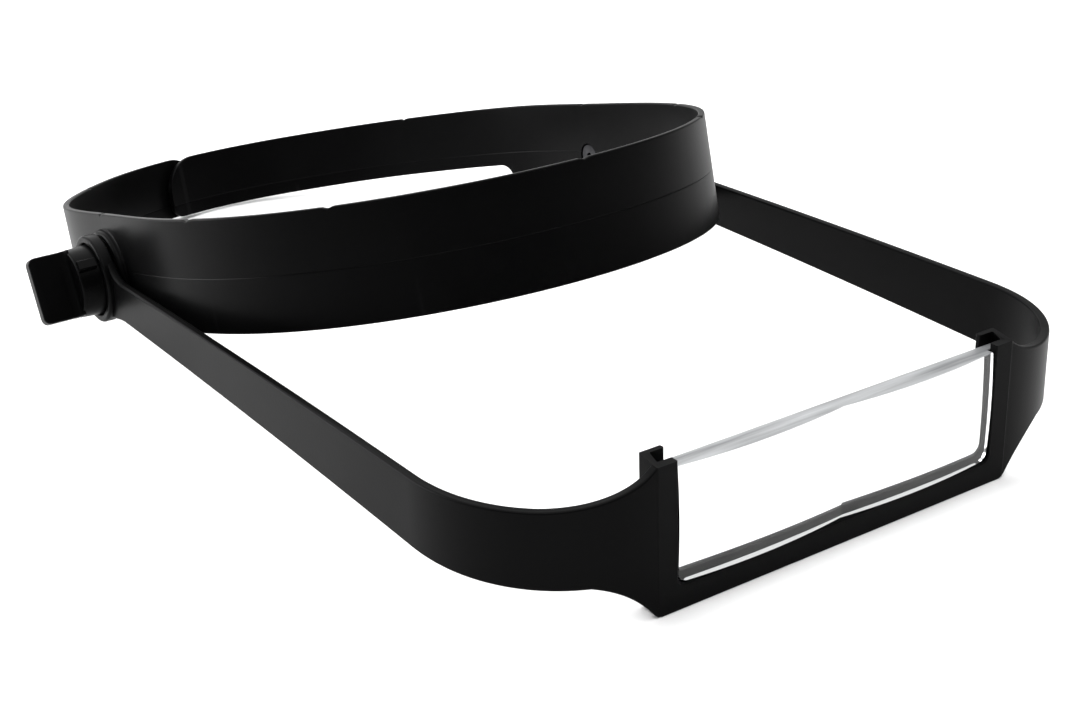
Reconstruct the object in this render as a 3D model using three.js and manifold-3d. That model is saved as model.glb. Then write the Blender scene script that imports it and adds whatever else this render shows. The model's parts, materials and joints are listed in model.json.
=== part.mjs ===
// A head visor magnifier: a springy head band, two side arms that tilt on thumb knobs,
// and a clear two-lens plate standing in a slotted frame at the front of the arms.
//
// Millimetres, +Z up, the wearer looks along -Y, the wearer's right is -X.
// Everything is drawn around the tilt axis (X through the origin), then the whole object
// is laid on the table, with the table as Z = 0 and the middle of its outline at X = Y = 0.

import * as THREE from 'three';
import { mergeVertices } from 'three/addons/utils/BufferGeometryUtils.js';
import Module from 'manifold-3d';

const wasm = await Module();
wasm.setup();

const RIGHT = -1;
const LEFT = 1;
const { degToRad } = THREE.MathUtils;

// ---------------------------------------------------------------- driving dimensions

const BAND_TILT = degToRad(-13.5);      // the band against the arms: forehead up, back down
const ROUND_STEPS = 48;                 // facets of a full circle
const GAP = 0.3;                        // air between pieces that rest on each other
const OVERSHOOT = 1;                    // how far a cutter reaches past what it cuts

// Head band. Its outline is a radius around its middle, as a cosine series of the angle
// from the back: mean radius, then the shares of one to five waves per turn.
const BAND_MIDDLE_Y = 14.2;
const BAND_RADIUS = 96;
const BAND_WAVES = [-0.141, 0.178, -0.010, 0.010, 0.021];
const BAND_WALL = 1.8;
const BAND_TOP = 16.6;
const BAND_BOTTOM = -11.8;
const BAND_STEPS = 144;

// The back of the band is a lower strap, reached over an S-shaped shoulder in its lower edge.
const STRAP_BOTTOM = -2.6;
const SHOULDER_Y = 47;
const SHOULDER_RADIUS = (STRAP_BOTTOM - BAND_BOTTOM) / 2;

// The strap ends in two tails. The right one stays outside and goes on as a narrow tongue,
// the left one steps inwards and lies under the tongue.
const OUTER_TAIL_END = degToRad(4.6);
const OUTER_TAIL_CORNERS = { top: 8, bottom: 8 };
const TONGUE_END = degToRad(-13);
const TONGUE_WALL = 1.2;
const TONGUE_HEIGHT = 12;
const INNER_TAIL_END = degToRad(372);
const INNER_TAIL_CORNERS = { top: 12, bottom: 4 };
const INNER_TAIL_INSET = 2.8;
const INNER_TAIL_STEP = [degToRad(320), degToRad(345)];
const PATCH_ANGLES = [degToRad(-11), degToRad(4)];
const PATCH_HEIGHT = 10;
const PATCH_WALL = 0.5;
const PATCH_GAP = 0.2;

const PAD_ANGLES = [degToRad(138), degToRad(222)];
const PAD_WALL = 4;
const PAD_TOP = BAND_TOP - 3.2;
const PAD_BOTTOM = BAND_BOTTOM + 3.2;

// Pivots, as distances from the middle plane. From the inside out: a countersunk bolt in the
// band's boss, the arm's eye between two washers, a spring washer, and the nut in the knob.
const BOSS_RADIUS = 12.4;
const BOSS_FACE = 81.7;
const BOSS_ROOT = 78.2;
const BOLT_RADIUS = 2;
const BOLT_HOLE = 2.1;
const BOLT_HEAD_RADIUS = 3.8;
const BOLT_HEAD_TOP = 78.3;
const BOLT_HEAD_LAND = 0.3;             // the straight part of the head, before its cone
const BOLT_SOCKET = { acrossFlats: 2.5, depth: 1.5 };
const BOLT_TIP = 90.4;
const COUNTERSINK_PLAY = GAP * Math.SQRT2;
const EYE_RADIUS = 11.9;
const EYE_FACE = 85.8;
const EYE_RECESS_RADIUS = 10;           // the knob's hub sits in this recess
const EYE_RECESS_FLOOR = 84.4;
const WASHER_RADIUS = 7.5;
const WASHER_HOLE = 2.3;
const FRICTION_WASHER = [81.9, 82.7];
const FLAT_WASHER = [84.7, 85.5];
const SPRING_WASHER = [85.8, 86.6];
const SPRING_WASHER_RADIUS = 4.2;
const SPRING_GAP = degToRad(14);
const INSERT = [86.9, 90.1];
const INSERT_ACROSS_FLATS = 7;

// Thumb knobs: a round hub and a flat paddle, turned a little against the arms.
const HUB_RADIUS = 9.6;
const HUB_END_RADIUS = 9.2;
const HUB = [84.9, 91.6];
const PADDLE_END = 101.6;
const PADDLE_WIDTH = 18;
const PADDLE_THICKNESS = 4.4;
const PADDLE_CORNER = 1.8;
const PADDLE_TURN = degToRad(25.5);     // its upper edge leans this far back
const INDEX_RIB = { width: 2.8, height: 1.3, from: 86.6, turn: degToRad(-70) };

// Arms: one strip bent to a U. Heights change along the way from the pivot to the front.
const ARM_WALL = 2.2;
const ARM_PIVOT_X = 84.5;
const ARM_CORNER_X = 82.5;
const ARM_TOP = [2.6, 10.6, -3.8];      // at the pivot, then first and second order terms
const ARM_BOTTOM = [-7.6, 4.0, -4.4];
const ARM_REACH = 192;                  // the length over which those terms are counted
const ARM_ROOT_LENGTH = 17;             // the lower edge slopes from under the eye over this length
const ARM_ROOT_DROP = [0.8, 0.95];      // behind and under the axis, as shares of the eye's radius
const EYE_FILLET = 10;                  // from the eye's edge down to the arm's upper edge
const CORNER = { x: 37.6, y: 38.8, power: 2.2 };

// Lens frame: a U of C-shaped section, open at the top, with the slot for the plate in it.
const FRAME_FRONT = -201.6;
const FRAME_DEPTH = 6.1;
const FRAME_HALF = 48.5;
const FRAME_TOP = 16.5;
const FRONT_WALL_TOP = 15.6;
const FRAME_BOTTOM = -18.2;
const OPENING_HALF = 43.5;
const SILL = -12.5;
const REAR_OPENING_HALF = 43.2;         // the wall behind the slot reaches further in
const REAR_SILL = -11;
const OPENING_CORNER = 2;
const SLOT_HALF = 46.9;
const SLOT_FLOOR = -15.2;
const SLOT = [2.1, 4.8];                // from the front face
const FLARE_TOP = { x: 76, pullX: 54, pullZ: 9.6 };
const FLARE_SHARE = 0.6;                // how much of the corner's depth belongs to the flare
const FLARE_BOTTOM = { x: 64, pullX: 55, pullZ: -9.2 };

// Lens plate.
const PLATE_TOP = 14;
const RIM_HALF = 46.6;                  // the thin rim that runs in the slot
const RIM_BOTTOM = -14.9;
const RIM_FRONT = 2.3;                  // from the frame's front face, as the next two
const PLATE_BACK = 4.5;
const BODY_FRONT = 0.8;
const BODY_HALF = 43.1;
const BODY_BOTTOM = -12.1;
const LENS_RADIUS = 165;

// ---------------------------------------------------------------- materials

function plastic(colour, roughness) {
  return new THREE.MeshStandardMaterial({ color: colour, roughness, metalness: 0 });
}

const blackPlastic = plastic(0x17181a, 0.42);
const knobPlastic = plastic(0x121314, 0.36);
const foam = plastic(0x3b3d40, 0.95);
const hookTape = plastic(0x1b1b1c, 0.9);
const fibre = plastic(0x6b4a34, 0.8);
const steel = new THREE.MeshStandardMaterial({ color: 0xb9bcc0, roughness: 0.35, metalness: 1 });
const blackSteel = new THREE.MeshStandardMaterial({ color: 0x1c1d1f, roughness: 0.4, metalness: 1 });
const brass = new THREE.MeshStandardMaterial({ color: 0xc2a052, roughness: 0.35, metalness: 1 });
const acrylic = new THREE.MeshStandardMaterial({
  color: 0xf2f6f8, roughness: 0.04, metalness: 0, transparent: true, opacity: 0.3,
});

// ---------------------------------------------------------------- solids

function toSolid(geometry) {
  const bare = geometry.clone();
  bare.deleteAttribute('normal');
  bare.deleteAttribute('uv');
  const merged = mergeVertices(bare, 1e-4);
  const mesh = new wasm.Mesh({
    numProp: 3,
    vertProperties: new Float32Array(merged.attributes.position.array),
    triVerts: new Uint32Array(merged.index.array),
  });
  return new wasm.Manifold(mesh);
}

function toGeometry(solid) {
  const mesh = solid.getMesh();
  const geometry = new THREE.BufferGeometry();
  geometry.setAttribute('position', new THREE.BufferAttribute(mesh.vertProperties, 3));
  geometry.setIndex(new THREE.BufferAttribute(mesh.triVerts, 1));
  return geometry;
}

function joined(solids) {
  return solids.reduce((sum, solid) => sum.add(solid));
}

function without(solid, cutters) {
  return cutters.reduce((rest, cutter) => rest.subtract(cutter), solid);
}

const AXIS_X = new THREE.Vector3(1, 0, 0);
const AXIS_Y = new THREE.Vector3(0, 1, 0);
const AXIS_Z = new THREE.Vector3(0, 0, 1);

function extruded(shape, length) {
  return new THREE.ExtrudeGeometry(shape, { depth: length, bevelEnabled: false, curveSegments: 12 });
}

// A shape drawn in (x, y), standing up from z = from to z = to.
function prismAlongZ(shape, from, to) {
  return extruded(shape, to - from).translate(0, 0, from);
}

// A shape drawn in (x, z), reaching from y = from to y = to.
function prismAlongY(shape, from, to) {
  const turn = new THREE.Matrix4().makeBasis(AXIS_X, AXIS_Z, AXIS_Y.clone().negate());
  return extruded(shape, to - from).applyMatrix4(turn).translate(0, to, 0);
}

// A shape drawn in (y, z), reaching from x = from to x = to.
function prismAlongX(shape, from, to) {
  const turn = new THREE.Matrix4().makeBasis(AXIS_Y, AXIS_Z, AXIS_X);
  return extruded(shape, to - from).applyMatrix4(turn).translate(from, 0, 0);
}

function boxBetween(low, high) {
  const size = high.map((value, axis) => value - low[axis]);
  const middle = high.map((value, axis) => (value + low[axis]) / 2);
  return new THREE.BoxGeometry(...size).translate(...middle);
}

function discAlongX(radius, from, to) {
  const disc = new THREE.CylinderGeometry(radius, radius, Math.abs(to - from), ROUND_STEPS);
  return disc.rotateZ(Math.PI / 2).translate((from + to) / 2, 0, 0);
}

// ---------------------------------------------------------------- outlines

function polygon(points) {
  return new THREE.Shape(points);
}

// The path moved sideways: a positive distance is to the left of the way the path runs.
function shifted(path, distance) {
  return path.map((point, i) => {
    const before = path[Math.max(i - 1, 0)];
    const after = path[Math.min(i + 1, path.length - 1)];
    const along = after.clone().sub(before).normalize();
    return new THREE.Vector2(point.x - along.y * distance, point.y + along.x * distance);
  });
}

// The outline of a wall between two depths to the left of a path.
function wallShape(path, nearDepth, farDepth) {
  const near = shifted(path, nearDepth);
  const far = shifted(path, farDepth).reverse();
  return polygon([...near, ...far]);
}

// The piece that a rounded corner takes off a square one; the signs say which way is outside.
function cornerCut(x, z, radius, signX, signZ) {
  const over = OVERSHOOT;
  const points = [new THREE.Vector2(x + signX * over, z + signZ * over)];
  points.push(new THREE.Vector2(x - signX * radius, z + signZ * over));
  const steps = 10;
  for (let i = 0; i <= steps; i += 1) {
    const angle = (Math.PI / 2) * (i / steps);
    const dx = Math.sin(angle) * radius - radius;
    const dz = Math.cos(angle) * radius - radius;
    points.push(new THREE.Vector2(x + signX * dx, z + signZ * dz));
  }
  points.push(new THREE.Vector2(x + signX * over, z - signZ * radius));
  return polygon(points);
}

// ---------------------------------------------------------------- head band

// Points of the band's outer face, from the back over the wearer's right side to the front
// and on over the left side. The inner side of the band is to the left of this path.
function bandPath(from, to, insetAt = () => 0) {
  const steps = Math.max(4, Math.round((BAND_STEPS * (to - from)) / (2 * Math.PI)));
  const path = [];
  for (let i = 0; i <= steps; i += 1) {
    const angle = from + ((to - from) * i) / steps;
    const wave = BAND_WAVES.reduce((sum, share, n) => sum + share * Math.cos((n + 1) * angle), 1);
    const radius = BAND_RADIUS * wave - insetAt(angle);
    path.push(new THREE.Vector2(-radius * Math.sin(angle), BAND_MIDDLE_Y + radius * Math.cos(angle)));
  }
  return path;
}

function bandStrip(from, to, nearDepth, farDepth, bottom, top, insetAt) {
  const shape = wallShape(bandPath(from, to, insetAt), nearDepth, farDepth);
  return toSolid(prismAlongZ(shape, bottom, top));
}

function innerTailInset(angle) {
  const [start, end] = INNER_TAIL_STEP;
  return INNER_TAIL_INSET * THREE.MathUtils.smoothstep(angle, start, end);
}

function shoulderCutter() {
  const behind = 2 * BAND_RADIUS;
  const aside = BAND_RADIUS;
  const shape = new THREE.Shape();
  shape.moveTo(behind, STRAP_BOTTOM);
  shape.lineTo(SHOULDER_Y, STRAP_BOTTOM);
  shape.absarc(SHOULDER_Y, STRAP_BOTTOM - SHOULDER_RADIUS, SHOULDER_RADIUS, Math.PI / 2, Math.PI);
  shape.absarc(SHOULDER_Y - 2 * SHOULDER_RADIUS, STRAP_BOTTOM - SHOULDER_RADIUS, SHOULDER_RADIUS,
    0, -Math.PI / 2, true);
  shape.lineTo(SHOULDER_Y - 2 * SHOULDER_RADIUS, BAND_BOTTOM - OVERSHOOT);
  shape.lineTo(behind, BAND_BOTTOM - OVERSHOOT);
  return toSolid(prismAlongX(shape, -aside, aside));
}

function tailCorners(x, radii, outwards) {
  const [front, back] = [BAND_RADIUS / 2, 2 * BAND_RADIUS];
  const cuts = [
    cornerCut(x, BAND_TOP, radii.top, outwards, 1),
    cornerCut(x, STRAP_BOTTOM, radii.bottom, outwards, -1),
  ];
  return cuts.map((cut) => toSolid(prismAlongY(cut, front, back)));
}

function endOf(path) {
  return path[path.length - 1];
}

function headBand() {
  const overlap = degToRad(2);
  const outerEnd = bandPath(OUTER_TAIL_END, Math.PI)[0].x;
  const innerEnd = endOf(bandPath(Math.PI, INNER_TAIL_END)).x;
  const rightHalf = bandStrip(OUTER_TAIL_END, Math.PI + overlap, 0, BAND_WALL, BAND_BOTTOM, BAND_TOP);
  const leftHalf = bandStrip(Math.PI - overlap, INNER_TAIL_END, 0, BAND_WALL, BAND_BOTTOM, BAND_TOP,
    innerTailInset);
  const shoulder = shoulderCutter();
  const right = without(rightHalf, [shoulder, ...tailCorners(outerEnd, OUTER_TAIL_CORNERS, 1)]);
  const left = without(leftHalf, [shoulder, ...tailCorners(innerEnd, INNER_TAIL_CORNERS, -1)]);
  const strapMiddle = (BAND_TOP + STRAP_BOTTOM) / 2;
  const tongue = bandStrip(TONGUE_END, OUTER_TAIL_END + overlap, 0, TONGUE_WALL,
    strapMiddle - TONGUE_HEIGHT / 2, strapMiddle + TONGUE_HEIGHT / 2);
  const bosses = [RIGHT, LEFT].map((side) => toSolid(
    discAlongX(BOSS_RADIUS, side * BOSS_ROOT, side * BOSS_FACE)));
  const holes = [RIGHT, LEFT].map((side) => toSolid(countersunkHole().rotateY((side * Math.PI) / 2)));
  return without(joined([right, left, tongue, ...bosses]), holes);
}

function foreheadPad() {
  const near = BAND_WALL + GAP;
  return bandStrip(...PAD_ANGLES, near, near + PAD_WALL, PAD_BOTTOM, PAD_TOP);
}

// A strip of fastener tape between the tongue and the tail under it.
function tapePatch(nearDepth) {
  const middle = (BAND_TOP + STRAP_BOTTOM) / 2;
  return bandStrip(...PATCH_ANGLES, nearDepth, nearDepth + PATCH_WALL,
    middle - PATCH_HEIGHT / 2, middle + PATCH_HEIGHT / 2);
}

// ---------------------------------------------------------------- visor frame

// The outer face of the arms and the front wall, from the right pivot to the left one.
function armPath() {
  const cornerY = FRAME_FRONT + CORNER.y;
  const half = [];
  half.push(new THREE.Vector2(ARM_PIVOT_X, EYE_RADIUS + 2));
  half.push(new THREE.Vector2(ARM_PIVOT_X, 0));
  const steps = 20;
  for (let i = 0; i <= steps; i += 1) {
    const angle = (Math.PI / 2) * (i / steps);
    const across = Math.cos(angle) ** (2 / CORNER.power);
    const ahead = Math.sin(angle) ** (2 / CORNER.power);
    half.push(new THREE.Vector2(ARM_CORNER_X - CORNER.x * (1 - across), cornerY - CORNER.y * ahead));
  }
  const mirrored = half.map((point) => new THREE.Vector2(-point.x, point.y));
  return [...mirrored, ...half.reverse()];
}

function armHeight(terms, ahead) {
  const share = ahead / ARM_REACH;
  return terms[0] + terms[1] * share + terms[2] * share * share;
}

// The hollow curve from the eye's edge down to the arm's upper edge, in (y, z).
function eyeFillet() {
  const reach = EYE_RADIUS + EYE_FILLET;
  const middleZ = armHeight(ARM_TOP, EYE_RADIUS + EYE_FILLET / 2) + EYE_FILLET;
  const middleY = -Math.sqrt(reach ** 2 - middleZ ** 2);
  const start = Math.atan2(-middleZ, -middleY);
  const end = -Math.PI / 2;
  const steps = 8;
  const curve = [];
  for (let i = 0; i <= steps; i += 1) {
    const angle = start + ((end - start) * i) / steps;
    curve.push(new THREE.Vector2(
      middleY + EYE_FILLET * Math.cos(angle), middleZ + EYE_FILLET * Math.sin(angle)));
  }
  return curve;
}

// The side view of both arms, in (y, z), with the lower edge sloping down to the eye.
function armProfile() {
  const steps = 12;
  const back = EYE_RADIUS / 2;
  const front = -FRAME_FRONT + OVERSHOOT;
  const [dropBehind, dropUnder] = ARM_ROOT_DROP.map((share) => share * EYE_RADIUS);
  const top = [new THREE.Vector2(back, 0), ...eyeFillet()];
  const bottom = [new THREE.Vector2(back, -dropBehind), new THREE.Vector2(0, -dropUnder)];
  const topStart = -endOf(top).x;
  for (let i = 0; i <= steps; i += 1) {
    const share = i / steps;
    const aheadTop = topStart + (front - topStart) * share;
    const aheadBottom = ARM_ROOT_LENGTH + (front - ARM_ROOT_LENGTH) * share;
    if (i > 0) top.push(new THREE.Vector2(-aheadTop, armHeight(ARM_TOP, aheadTop)));
    bottom.push(new THREE.Vector2(-aheadBottom, armHeight(ARM_BOTTOM, aheadBottom)));
  }
  return polygon([...top, ...bottom.reverse()]);
}

// The front view of the wall where the arms widen into the lens frame, in (x, z).
function flareProfile() {
  const cornerStart = -FRAME_FRONT - CORNER.y / 2;
  const topAtArm = armHeight(ARM_TOP, cornerStart);
  const bottomAtArm = armHeight(ARM_BOTTOM, cornerStart);
  const shape = new THREE.Shape();
  shape.moveTo(-FLARE_TOP.x, topAtArm);
  shape.quadraticCurveTo(-FLARE_TOP.pullX, FLARE_TOP.pullZ, -FRAME_HALF, FRONT_WALL_TOP);
  shape.lineTo(FRAME_HALF, FRONT_WALL_TOP);
  shape.quadraticCurveTo(FLARE_TOP.pullX, FLARE_TOP.pullZ, FLARE_TOP.x, topAtArm);
  shape.lineTo(FLARE_BOTTOM.x, bottomAtArm);
  shape.quadraticCurveTo(FLARE_BOTTOM.pullX, FLARE_BOTTOM.pullZ, FRAME_HALF, FRAME_BOTTOM);
  shape.lineTo(-FRAME_HALF, FRAME_BOTTOM);
  shape.quadraticCurveTo(-FLARE_BOTTOM.pullX, FLARE_BOTTOM.pullZ, -FLARE_BOTTOM.x, bottomAtArm);
  return shape;
}

// A window in (x, z) with its two lower corners rounded.
function windowShape(half, bottom, top) {
  const shape = new THREE.Shape();
  shape.moveTo(half, top);
  shape.lineTo(-half, top);
  shape.lineTo(-half, bottom + OPENING_CORNER);
  shape.absarc(-half + OPENING_CORNER, bottom + OPENING_CORNER, OPENING_CORNER,
    Math.PI, 1.5 * Math.PI);
  shape.absarc(half - OPENING_CORNER, bottom + OPENING_CORNER, OPENING_CORNER,
    1.5 * Math.PI, 2 * Math.PI);
  return shape;
}

function visorFrame() {
  const over = OVERSHOOT;
  const armInside = ARM_PIVOT_X - ARM_WALL;
  const frameBack = FRAME_FRONT + FRAME_DEPTH;
  const flareBack = FRAME_FRONT + CORNER.y * FLARE_SHARE;
  const strip = toSolid(prismAlongZ(wallShape(armPath(), 0, ARM_WALL), FRAME_BOTTOM, FRAME_TOP));
  const sideView = toSolid(prismAlongX(armProfile(), -ARM_PIVOT_X - over, ARM_PIVOT_X + over));
  const frontView = toSolid(prismAlongY(flareProfile(), FRAME_FRONT - over, flareBack));
  const arms = strip.intersect(sideView.add(frontView));
  const block = toSolid(boxBetween([-FRAME_HALF, FRAME_FRONT, FRAME_BOTTOM],
    [FRAME_HALF, frameBack, FRAME_TOP]));
  const eyes = [RIGHT, LEFT].map((side) => toSolid(
    discAlongX(EYE_RADIUS, side * armInside, side * EYE_FACE)));
  const slotMiddle = FRAME_FRONT + (SLOT[0] + SLOT[1]) / 2;
  const opening = toSolid(prismAlongY(windowShape(OPENING_HALF, SILL, FRAME_TOP + over),
    FRAME_FRONT - over, slotMiddle));
  const rearOpening = toSolid(prismAlongY(
    windowShape(REAR_OPENING_HALF, REAR_SILL, FRAME_TOP + over), slotMiddle - over, frameBack + over));
  const slot = toSolid(boxBetween([-SLOT_HALF, FRAME_FRONT + SLOT[0], SLOT_FLOOR],
    [SLOT_HALF, FRAME_FRONT + SLOT[1], FRAME_TOP + over]));
  const frontWallCut = toSolid(boxBetween([-FRAME_HALF - over, FRAME_FRONT - over, FRONT_WALL_TOP],
    [FRAME_HALF + over, FRAME_FRONT + SLOT[0] + over, FRAME_TOP + over]));
  const innerRecesses = [RIGHT, LEFT].map((side) => toSolid(
    discAlongX(WASHER_RADIUS + GAP, side * (armInside - over), side * (FRICTION_WASHER[1] + GAP))));
  const outerRecesses = [RIGHT, LEFT].map((side) => toSolid(
    discAlongX(EYE_RECESS_RADIUS, side * EYE_RECESS_FLOOR, side * (EYE_FACE + over))));
  const boltHole = toSolid(discAlongX(BOLT_HOLE, -BOLT_TIP, BOLT_TIP));
  return without(joined([arms, block, ...eyes]),
    [opening, rearOpening, slot, frontWallCut, ...innerRecesses, ...outerRecesses, boltHole]);
}

// ---------------------------------------------------------------- lens plate

// A round cap of the lens surface, its flat side on the front face of the plate's body.
function lensCap(middleX, middleZ, rimRadius) {
  const rings = 10;
  const depth = OVERSHOOT;
  const drop = (radius) => LENS_RADIUS - Math.sqrt(LENS_RADIUS ** 2 - radius ** 2);
  const height = drop(rimRadius);
  const profile = [new THREE.Vector2(0, -depth), new THREE.Vector2(rimRadius, -depth)];
  for (let i = rings; i >= 0; i -= 1) {
    const radius = (rimRadius * i) / rings;
    profile.push(new THREE.Vector2(radius, height - drop(radius)));
  }
  const cap = new THREE.LatheGeometry(profile, ROUND_STEPS);
  return toSolid(cap.rotateX(Math.PI).translate(middleX, FRAME_FRONT + BODY_FRONT, middleZ));
}

// A thin rim that runs in the slot, a thicker body in the opening, and two bulged lens halves.
function lensPlate() {
  const back = FRAME_FRONT + PLATE_BACK;
  const front = FRAME_FRONT + BODY_FRONT;
  const rim = toSolid(boxBetween([-RIM_HALF, FRAME_FRONT + RIM_FRONT, RIM_BOTTOM],
    [RIM_HALF, back, PLATE_TOP]));
  const bodyShape = windowShape(BODY_HALF, BODY_BOTTOM, PLATE_TOP);
  const body = toSolid(prismAlongY(bodyShape, front, back));
  const middleZ = (PLATE_TOP + BODY_BOTTOM) / 2;
  const rimRadius = Math.hypot(BODY_HALF / 2, (PLATE_TOP - BODY_BOTTOM) / 2) + OVERSHOOT;
  const window = toSolid(prismAlongY(bodyShape, front - PLATE_BACK, back));
  const caps = [RIGHT, LEFT].map((side) => lensCap((side * BODY_HALF) / 2, middleZ, rimRadius));
  return joined([rim, body, joined(caps).intersect(window)]);
}

// ---------------------------------------------------------------- pivots

// These are drawn with the axis along Z, as if the middle plane were at z = 0.

function ringShape(inner, outer, gapAngle = 0) {
  const shape = new THREE.Shape();
  if (gapAngle > 0) {
    shape.absarc(0, 0, outer, gapAngle / 2, 2 * Math.PI - gapAngle / 2);
    shape.absarc(0, 0, inner, 2 * Math.PI - gapAngle / 2, gapAngle / 2, true);
    return shape;
  }
  shape.absarc(0, 0, outer, 0, 2 * Math.PI);
  const hole = new THREE.Path();
  hole.absarc(0, 0, inner, 0, 2 * Math.PI, true);
  shape.holes.push(hole);
  return shape;
}

function washer([from, to], outer, gapAngle = 0) {
  return prismAlongZ(ringShape(WASHER_HOLE, outer, gapAngle), from, to);
}

// A countersunk head that narrows over a 90 degree cone to a straight shank.
function countersunk(headRadius, shankRadius, from, to) {
  const coneStart = BOLT_HEAD_TOP + BOLT_HEAD_LAND;
  const profile = [
    [0, from],
    [headRadius, from],
    [headRadius, coneStart],
    [shankRadius, coneStart + headRadius - shankRadius],
    [shankRadius, to],
    [0, to],
  ];
  const lathe = new THREE.LatheGeometry(profile.map(([x, y]) => new THREE.Vector2(x, y)), ROUND_STEPS);
  return lathe.rotateX(Math.PI / 2);
}

function countersunkHole() {
  const inside = BOLT_HEAD_TOP - 2 * OVERSHOOT;
  return countersunk(BOLT_HEAD_RADIUS + COUNTERSINK_PLAY, BOLT_HOLE, inside, BOSS_FACE + OVERSHOOT);
}

function pivotBolt() {
  const bolt = toSolid(countersunk(BOLT_HEAD_RADIUS, BOLT_RADIUS, BOLT_HEAD_TOP, BOLT_TIP));
  const socket = toSolid(prismAlongZ(hexagon(BOLT_SOCKET.acrossFlats),
    BOLT_HEAD_TOP - OVERSHOOT, BOLT_HEAD_TOP + BOLT_SOCKET.depth));
  return bolt.subtract(socket);
}

function hexagon(acrossFlats) {
  const corners = [];
  for (let i = 0; i < 6; i += 1) {
    const angle = (Math.PI / 3) * i;
    const radius = acrossFlats / Math.sqrt(3);
    corners.push(new THREE.Vector2(Math.cos(angle) * radius, Math.sin(angle) * radius));
  }
  return polygon(corners);
}

function knobInsert() {
  const shape = hexagon(INSERT_ACROSS_FLATS);
  const hole = new THREE.Path();
  hole.absarc(0, 0, BOLT_HOLE, 0, 2 * Math.PI, true);
  shape.holes.push(hole);
  return prismAlongZ(shape, ...INSERT);
}

// The broad side of the paddle, in (x, z).
function paddleShape() {
  const root = HUB[1] - OVERSHOOT;
  const half = PADDLE_WIDTH / 2;
  const shape = new THREE.Shape();
  shape.moveTo(-half, root);
  shape.lineTo(half, root);
  shape.lineTo(half, PADDLE_END - PADDLE_CORNER);
  shape.quadraticCurveTo(half, PADDLE_END, half - PADDLE_CORNER, PADDLE_END);
  shape.lineTo(-half + PADDLE_CORNER, PADDLE_END);
  shape.quadraticCurveTo(-half, PADDLE_END, -half, PADDLE_END - PADDLE_CORNER);
  return shape;
}

function roundBar(radius, from, to, endRadius = radius) {
  const bar = new THREE.CylinderGeometry(endRadius, radius, to - from, ROUND_STEPS);
  return bar.rotateX(Math.PI / 2).translate(0, 0, (from + to) / 2);
}

function thumbKnob() {
  const hub = toSolid(roundBar(HUB_RADIUS, ...HUB, HUB_END_RADIUS));
  const halfThick = PADDLE_THICKNESS / 2;
  const paddle = toSolid(prismAlongY(paddleShape(), -halfThick, halfThick));
  const halfRib = INDEX_RIB.width / 2;
  const rib = toSolid(boxBetween([HUB_END_RADIUS - OVERSHOOT, -halfRib, INDEX_RIB.from],
    [HUB_RADIUS + INDEX_RIB.height, halfRib, HUB[1] - GAP]).rotateZ(INDEX_RIB.turn));
  const flatWasherRoom = toSolid(roundBar(WASHER_RADIUS + GAP, HUB[0] - OVERSHOOT, FLAT_WASHER[1] + GAP));
  const springWasherRoom = toSolid(roundBar(SPRING_WASHER_RADIUS + GAP, HUB[0], INSERT[0]));
  const insertPocket = toSolid(prismAlongZ(hexagon(INSERT_ACROSS_FLATS + 2 * GAP),
    HUB[0], INSERT[1] + GAP));
  const boltRoom = toSolid(roundBar(BOLT_HOLE + GAP, HUB[0], BOLT_TIP + GAP));
  return without(joined([hub, paddle, rib]), [flatWasherRoom, springWasherRoom, insertPocket, boltRoom]);
}

// ---------------------------------------------------------------- assembly

function named(name, shape, material) {
  const geometry = shape.isBufferGeometry ? shape : toGeometry(shape);
  const mesh = new THREE.Mesh(geometry, material.clone());
  mesh.name = name;
  return mesh;
}

function pivotGroup(side) {
  const word = side === RIGHT ? 'right' : 'left';
  const group = new THREE.Group();
  group.rotation.y = (side * Math.PI) / 2;
  group.add(named(`pivot_bolt_${word}`, pivotBolt(), blackSteel));
  group.add(named(`friction_washer_${word}`, washer(FRICTION_WASHER, WASHER_RADIUS), fibre));
  group.add(named(`flat_washer_${word}`, washer(FLAT_WASHER, WASHER_RADIUS), steel));
  group.add(named(`spring_washer_${word}`,
    washer(SPRING_WASHER, SPRING_WASHER_RADIUS, SPRING_GAP), steel));
  const knobGroup = new THREE.Group();
  knobGroup.rotation.z = -side * PADDLE_TURN;
  knobGroup.add(named(`thumb_knob_${word}`, thumbKnob(), knobPlastic));
  knobGroup.add(named(`knob_insert_${word}`, knobInsert(), brass));
  group.add(knobGroup);
  return group;
}

function bandGroup() {
  const group = new THREE.Group();
  group.rotation.x = BAND_TILT;
  group.add(named('head_band', headBand(), blackPlastic));
  group.add(named('forehead_pad', foreheadPad(), foam));
  group.add(named('hook_patch', tapePatch(TONGUE_WALL + PATCH_GAP), hookTape));
  group.add(named('loop_patch', tapePatch(INNER_TAIL_INSET - PATCH_GAP - PATCH_WALL), hookTape));
  return group;
}

function visorGroup() {
  const group = new THREE.Group();
  group.add(named('visor_frame', visorFrame(), blackPlastic));
  group.add(named('lens_plate', lensPlate(), acrylic));
  return group;
}

const drawn = new THREE.Group();
drawn.add(bandGroup(), visorGroup(), pivotGroup(RIGHT), pivotGroup(LEFT));

// Laid down, the object touches the table with the sill of the lens frame and with the lower
// edge of the strap at the back, so it is turned until those two are equally low.
function restTurn() {
  const backY = BAND_MIDDLE_Y + BAND_RADIUS * (1 + BAND_WAVES.reduce((sum, share) => sum + share, 0));
  const strap = new THREE.Vector3(0, backY, STRAP_BOTTOM).applyAxisAngle(AXIS_X, BAND_TILT);
  return Math.atan2(FRAME_BOTTOM - strap.z, strap.y - FRAME_FRONT);
}

drawn.rotation.x = restTurn();
const outline = new THREE.Box3().setFromObject(drawn, true);
const middle = outline.getCenter(new THREE.Vector3());
drawn.position.set(-middle.x, -middle.y, -outline.min.z);

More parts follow.
